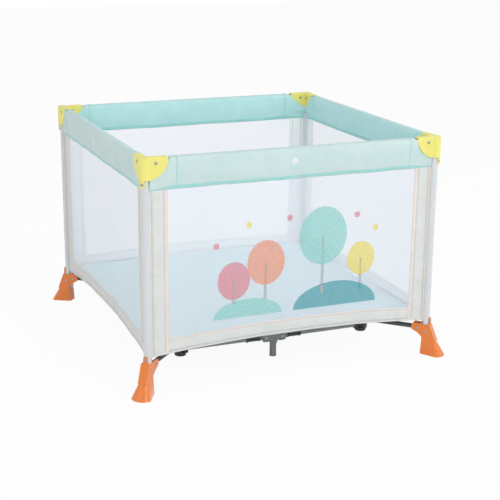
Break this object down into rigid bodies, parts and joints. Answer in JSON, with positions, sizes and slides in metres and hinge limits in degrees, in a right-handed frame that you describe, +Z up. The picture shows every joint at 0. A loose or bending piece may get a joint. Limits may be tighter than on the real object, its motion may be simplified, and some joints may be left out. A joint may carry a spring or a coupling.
{
  "type": "playpen",
  "caption": "Square folding playpen: corner posts on flared feet, hinged padded top rails with middle latches, mesh walls, a padded floor mat and a hinged base ring.",
  "frame": {"origin": "on the floor under the middle of the pen", "axes": "+Z up, +X along the front side to the right, +Y from the front side to the back"},
  "size_m": [1.1218, 1.1218, 0.76],
  "materials": {
    "post_tube": "satin light grey coat",
    "bracket_moulding": "smooth moulded lemon yellow",
    "foot_moulding": "smooth moulded orange",
    "cover_cloth": "plain woven pale aqua",
    "rail_tube": "grey powder coat",
    "latch_moulding": "fine moulded grain",
    "button_moulding": "smooth moulded red",
    "base_tube": "dark grey powder coat",
    "hub_moulding": "fine moulded grain",
    "leg_moulding": "fine moulded grain",
    "wall_mesh": "white net with off-white cloth bands",
    "floor_cloth": "plain woven pale green grey",
    "mat_cloth": "plain woven pale blue"
  },
  "bodies": {
    "corner_front_left": {"post_front_left": "post_tube", "top_bracket_front_left": "bracket_moulding", "foot_front_left": "foot_moulding", "side_wall_front": "wall_mesh", "rail_cover_front": "cover_cloth", "side_wall_left": "wall_mesh", "rail_cover_left": "cover_cloth"},
    "corner_front_right": {"post_front_right": "post_tube", "top_bracket_front_right": "bracket_moulding", "foot_front_right": "foot_moulding", "side_wall_right": "wall_mesh", "rail_cover_right": "cover_cloth"},
    "corner_back_right": {"post_back_right": "post_tube", "top_bracket_back_right": "bracket_moulding", "foot_back_right": "foot_moulding"},
    "corner_back_left": {"post_back_left": "post_tube", "top_bracket_back_left": "bracket_moulding", "foot_back_left": "foot_moulding", "side_wall_back": "wall_mesh", "rail_cover_back": "cover_cloth"},
    "rail_front_left": {"rail_front_left": "rail_tube"},
    "rail_front_right": {"rail_front_right": "rail_tube"},
    "latch_front": {"latch_housing_front": "latch_moulding"},
    "button_front": {"latch_button_front": "button_moulding"},
    "side_hub_front": {"side_hub_front": "leg_moulding", "floor_cloth": "floor_cloth", "floor_mat": "mat_cloth"},
    "ring_bar_front_left": {"ring_bar_front_left": "base_tube"},
    "ring_bar_front_right": {"ring_bar_front_right": "base_tube"},
    "rail_right_front": {"rail_right_front": "rail_tube"},
    "rail_right_back": {"rail_right_back": "rail_tube"},
    "latch_right": {"latch_housing_right": "latch_moulding"},
    "button_right": {"latch_button_right": "button_moulding"},
    "side_hub_right": {"side_hub_right": "leg_moulding"},
    "ring_bar_right_front": {"ring_bar_right_front": "base_tube"},
    "ring_bar_right_back": {"ring_bar_right_back": "base_tube"},
    "rail_back_right": {"rail_back_right": "rail_tube"},
    "rail_back_left": {"rail_back_left": "rail_tube"},
    "latch_back": {"latch_housing_back": "latch_moulding"},
    "button_back": {"latch_button_back": "button_moulding"},
    "side_hub_back": {"side_hub_back": "leg_moulding"},
    "ring_bar_back_right": {"ring_bar_back_right": "base_tube"},
    "ring_bar_back_left": {"ring_bar_back_left": "base_tube"},
    "rail_left_back": {"rail_left_back": "rail_tube"},
    "rail_left_front": {"rail_left_front": "rail_tube"},
    "latch_left": {"latch_housing_left": "latch_moulding"},
    "button_left": {"latch_button_left": "button_moulding"},
    "side_hub_left": {"side_hub_left": "leg_moulding"},
    "ring_bar_left_back": {"ring_bar_left_back": "base_tube"},
    "ring_bar_left_front": {"ring_bar_left_front": "base_tube"},
    "diagonal_bar_front_left": {"diagonal_bar_front_left": "base_tube"},
    "corner_hub_front_left": {"corner_hub_front_left": "hub_moulding"},
    "diagonal_bar_front_right": {"diagonal_bar_front_right": "base_tube"},
    "corner_hub_front_right": {"corner_hub_front_right": "hub_moulding"},
    "diagonal_bar_back_right": {"diagonal_bar_back_right": "base_tube"},
    "corner_hub_back_right": {"corner_hub_back_right": "hub_moulding"},
    "diagonal_bar_back_left": {"diagonal_bar_back_left": "base_tube"},
    "corner_hub_back_left": {"corner_hub_back_left": "hub_moulding"}
  },
  "joints": [
    {"name": "frame_fold", "type": "hinge", "parent": "corner_front_left", "child": "rail_front_left", "pos_m": [-0.468, -0.5, 0.742], "axis": [0, 1, 0], "range_deg": [0, 85], "deforming": ["floor_cloth", "floor_mat", "side_wall_front", "side_wall_right", "side_wall_back", "side_wall_left", "rail_cover_front", "rail_cover_right", "rail_cover_back", "rail_cover_left"]},
    {"name": "latch_front_turn", "type": "hinge", "parent": "rail_front_left", "child": "latch_front", "pos_m": [-0.0556, -0.5, 0.742], "axis": [0, 1, 0], "range_deg": [-85, 0]},
    {"name": "rail_front_right_turn", "type": "hinge", "parent": "latch_front", "child": "rail_front_right", "pos_m": [0.0556, -0.5, 0.742], "axis": [0, 1, 0], "range_deg": [-85, 0]},
    {"name": "corner_front_right_turn", "type": "hinge", "parent": "rail_front_right", "child": "corner_front_right", "pos_m": [0.468, -0.5, 0.742], "axis": [0, 1, 0], "range_deg": [0, 85]},
    {"name": "rail_left_front_turn", "type": "hinge", "parent": "corner_front_left", "child": "rail_left_front", "pos_m": [-0.5, -0.468, 0.742], "axis": [1, 0, 0], "range_deg": [-85, 0]},
    {"name": "latch_left_turn", "type": "hinge", "parent": "rail_left_front", "child": "latch_left", "pos_m": [-0.5, -0.0556, 0.742], "axis": [1, 0, 0], "range_deg": [0, 85]},
    {"name": "rail_left_back_turn", "type": "hinge", "parent": "latch_left", "child": "rail_left_back", "pos_m": [-0.5, 0.0556, 0.742], "axis": [1, 0, 0], "range_deg": [0, 85]},
    {"name": "corner_back_left_turn", "type": "hinge", "parent": "rail_left_back", "child": "corner_back_left", "pos_m": [-0.5, 0.468, 0.742], "axis": [1, 0, 0], "range_deg": [-85, 0]},
    {"name": "rail_right_front_turn", "type": "hinge", "parent": "corner_front_right", "child": "rail_right_front", "pos_m": [0.5, -0.468, 0.742], "axis": [-1, 0, 0], "range_deg": [0, 85]},
    {"name": "latch_right_turn", "type": "hinge", "parent": "rail_right_front", "child": "latch_right", "pos_m": [0.5, -0.0556, 0.742], "axis": [-1, 0, 0], "range_deg": [-85, 0]},
    {"name": "rail_right_back_turn", "type": "hinge", "parent": "latch_right", "child": "rail_right_back", "pos_m": [0.5, 0.0556, 0.742], "axis": [-1, 0, 0], "range_deg": [-85, 0]},
    {"name": "corner_back_right_turn", "type": "hinge", "parent": "rail_right_back", "child": "corner_back_right", "pos_m": [0.5, 0.468, 0.742], "axis": [-1, 0, 0], "range_deg": [0, 85]},
    {"name": "rail_back_left_turn", "type": "hinge", "parent": "corner_back_left", "child": "rail_back_left", "pos_m": [-0.468, 0.5, 0.742], "axis": [0, -1, 0], "range_deg": [-85, 0]},
    {"name": "latch_back_turn", "type": "hinge", "parent": "rail_back_left", "child": "latch_back", "pos_m": [-0.0556, 0.5, 0.742], "axis": [0, -1, 0], "range_deg": [0, 85]},
    {"name": "rail_back_right_turn", "type": "hinge", "parent": "latch_back", "child": "rail_back_right", "pos_m": [0.0556, 0.5, 0.742], "axis": [0, -1, 0], "range_deg": [0, 85]},
    {"name": "diagonal_bar_front_left_turn", "type": "hinge", "parent": "corner_front_left", "child": "diagonal_bar_front_left", "pos_m": [-0.48162, -0.48162, 0.092], "axis": [0.7071, -0.7071, 0], "range_deg": [0, 85]},
    {"name": "corner_hub_front_left_turn", "type": "hinge", "parent": "diagonal_bar_front_left", "child": "corner_hub_front_left", "pos_m": [-0.35621, -0.35621, 0.092], "axis": [0.7071, -0.7071, 0], "range_deg": [-85, 0]},
    {"name": "diagonal_bar_front_right_turn", "type": "hinge", "parent": "corner_front_right", "child": "diagonal_bar_front_right", "pos_m": [0.48162, -0.48162, 0.092], "axis": [0.7071, 0.7071, 0], "range_deg": [0, 85]},
    {"name": "corner_hub_front_right_turn", "type": "hinge", "parent": "diagonal_bar_front_right", "child": "corner_hub_front_right", "pos_m": [0.35621, -0.35621, 0.092], "axis": [0.7071, 0.7071, 0], "range_deg": [-85, 0]},
    {"name": "diagonal_bar_back_right_turn", "type": "hinge", "parent": "corner_back_right", "child": "diagonal_bar_back_right", "pos_m": [0.48162, 0.48162, 0.092], "axis": [-0.7071, 0.7071, 0], "range_deg": [0, 85]},
    {"name": "corner_hub_back_right_turn", "type": "hinge", "parent": "diagonal_bar_back_right", "child": "corner_hub_back_right", "pos_m": [0.35621, 0.35621, 0.092], "axis": [-0.7071, 0.7071, 0], "range_deg": [-85, 0]},
    {"name": "diagonal_bar_back_left_turn", "type": "hinge", "parent": "corner_back_left", "child": "diagonal_bar_back_left", "pos_m": [-0.48162, 0.48162, 0.092], "axis": [-0.7071, -0.7071, 0], "range_deg": [0, 85]},
    {"name": "corner_hub_back_left_turn", "type": "hinge", "parent": "diagonal_bar_back_left", "child": "corner_hub_back_left", "pos_m": [-0.35621, 0.35621, 0.092], "axis": [-0.7071, -0.7071, 0], "range_deg": [-85, 0]},
    {"name": "ring_bar_front_left_turn", "type": "hinge", "parent": "corner_hub_front_left", "child": "ring_bar_front_left", "pos_m": [-0.317, -0.335, 0.071], "axis": [0, -1, 0], "range_deg": [0, 85]},
    {"name": "side_hub_front_turn", "type": "hinge", "parent": "ring_bar_front_left", "child": "side_hub_front", "pos_m": [-0.03, -0.335, 0.071], "axis": [0, -1, 0], "range_deg": [-85, 0]},
    {"name": "ring_bar_front_right_turn", "type": "hinge", "parent": "corner_hub_front_right", "child": "ring_bar_front_right", "pos_m": [0.317, -0.335, 0.071], "axis": [0, -1, 0], "range_deg": [-85, 0]},
    {"name": "ring_bar_right_front_turn", "type": "hinge", "parent": "corner_hub_front_right", "child": "ring_bar_right_front", "pos_m": [0.335, -0.317, 0.071], "axis": [1, 0, 0], "range_deg": [0, 85]},
    {"name": "side_hub_right_turn", "type": "hinge", "parent": "ring_bar_right_front", "child": "side_hub_right", "pos_m": [0.335, -0.03, 0.071], "axis": [1, 0, 0], "range_deg": [-85, 0]},
    {"name": "ring_bar_right_back_turn", "type": "hinge", "parent": "corner_hub_back_right", "child": "ring_bar_right_back", "pos_m": [0.335, 0.317, 0.071], "axis": [1, 0, 0], "range_deg": [-85, 0]},
    {"name": "ring_bar_back_right_turn", "type": "hinge", "parent": "corner_hub_back_right", "child": "ring_bar_back_right", "pos_m": [0.317, 0.335, 0.071], "axis": [0, 1, 0], "range_deg": [0, 85]},
    {"name": "side_hub_back_turn", "type": "hinge", "parent": "ring_bar_back_right", "child": "side_hub_back", "pos_m": [0.03, 0.335, 0.071], "axis": [0, 1, 0], "range_deg": [-85, 0]},
    {"name": "ring_bar_back_left_turn", "type": "hinge", "parent": "corner_hub_back_left", "child": "ring_bar_back_left", "pos_m": [-0.317, 0.335, 0.071], "axis": [0, 1, 0], "range_deg": [-85, 0]},
    {"name": "ring_bar_left_back_turn", "type": "hinge", "parent": "corner_hub_back_left", "child": "ring_bar_left_back", "pos_m": [-0.335, 0.317, 0.071], "axis": [-1, 0, 0], "range_deg": [0, 85]},
    {"name": "side_hub_left_turn", "type": "hinge", "parent": "ring_bar_left_back", "child": "side_hub_left", "pos_m": [-0.335, 0.03, 0.071], "axis": [-1, 0, 0], "range_deg": [-85, 0]},
    {"name": "ring_bar_left_front_turn", "type": "hinge", "parent": "corner_hub_front_left", "child": "ring_bar_left_front", "pos_m": [-0.335, -0.317, 0.071], "axis": [-1, 0, 0], "range_deg": [-85, 0]},
    {"name": "button_front_press", "type": "slide", "parent": "latch_front", "child": "button_front", "axis": [0, 0, 1], "range_m": [0, 0.006], "stiffness_N_per_m": 600, "springref_m": -0.002},
    {"name": "button_right_press", "type": "slide", "parent": "latch_right", "child": "button_right", "axis": [0, 0, 1], "range_m": [0, 0.006], "stiffness_N_per_m": 600, "springref_m": -0.002},
    {"name": "button_back_press", "type": "slide", "parent": "latch_back", "child": "button_back", "axis": [0, 0, 1], "range_m": [0, 0.006], "stiffness_N_per_m": 600, "springref_m": -0.002},
    {"name": "button_left_press", "type": "slide", "parent": "latch_left", "child": "button_left", "axis": [0, 0, 1], "range_m": [0, 0.006], "stiffness_N_per_m": 600, "springref_m": -0.002}
  ],
  "couplings": [
    {"joint": "latch_front_turn", "follows": "frame_fold", "ratio": -1},
    {"joint": "rail_front_right_turn", "follows": "frame_fold", "ratio": -1},
    {"joint": "corner_front_right_turn", "follows": "frame_fold", "ratio": 1},
    {"joint": "rail_left_front_turn", "follows": "frame_fold", "ratio": -1},
    {"joint": "latch_left_turn", "follows": "frame_fold", "ratio": 1},
    {"joint": "rail_left_back_turn", "follows": "frame_fold", "ratio": 1},
    {"joint": "corner_back_left_turn", "follows": "frame_fold", "ratio": -1},
    {"joint": "rail_right_front_turn", "follows": "frame_fold", "ratio": 1},
    {"joint": "latch_right_turn", "follows": "frame_fold", "ratio": -1},
    {"joint": "rail_right_back_turn", "follows": "frame_fold", "ratio": -1},
    {"joint": "corner_back_right_turn", "follows": "frame_fold", "ratio": 1},
    {"joint": "rail_back_left_turn", "follows": "frame_fold", "ratio": -1},
    {"joint": "latch_back_turn", "follows": "frame_fold", "ratio": 1},
    {"joint": "rail_back_right_turn", "follows": "frame_fold", "ratio": 1},
    {"joint": "diagonal_bar_front_left_turn", "follows": "frame_fold", "ratio": 1},
    {"joint": "corner_hub_front_left_turn", "follows": "frame_fold", "ratio": -1},
    {"joint": "diagonal_bar_front_right_turn", "follows": "frame_fold", "ratio": 1},
    {"joint": "corner_hub_front_right_turn", "follows": "frame_fold", "ratio": -1},
    {"joint": "diagonal_bar_back_right_turn", "follows": "frame_fold", "ratio": 1},
    {"joint": "corner_hub_back_right_turn", "follows": "frame_fold", "ratio": -1},
    {"joint": "diagonal_bar_back_left_turn", "follows": "frame_fold", "ratio": 1},
    {"joint": "corner_hub_back_left_turn", "follows": "frame_fold", "ratio": -1},
    {"joint": "ring_bar_front_left_turn", "follows": "frame_fold", "ratio": 1},
    {"joint": "side_hub_front_turn", "follows": "frame_fold", "ratio": -1},
    {"joint": "ring_bar_front_right_turn", "follows": "frame_fold", "ratio": -1},
    {"joint": "ring_bar_right_front_turn", "follows": "frame_fold", "ratio": 1},
    {"joint": "side_hub_right_turn", "follows": "frame_fold", "ratio": -1},
    {"joint": "ring_bar_right_back_turn", "follows": "frame_fold", "ratio": -1},
    {"joint": "ring_bar_back_right_turn", "follows": "frame_fold", "ratio": 1},
    {"joint": "side_hub_back_turn", "follows": "frame_fold", "ratio": -1},
    {"joint": "ring_bar_back_left_turn", "follows": "frame_fold", "ratio": -1},
    {"joint": "ring_bar_left_back_turn", "follows": "frame_fold", "ratio": 1},
    {"joint": "side_hub_left_turn", "follows": "frame_fold", "ratio": -1},
    {"joint": "ring_bar_left_front_turn", "follows": "frame_fold", "ratio": -1}
  ]
}
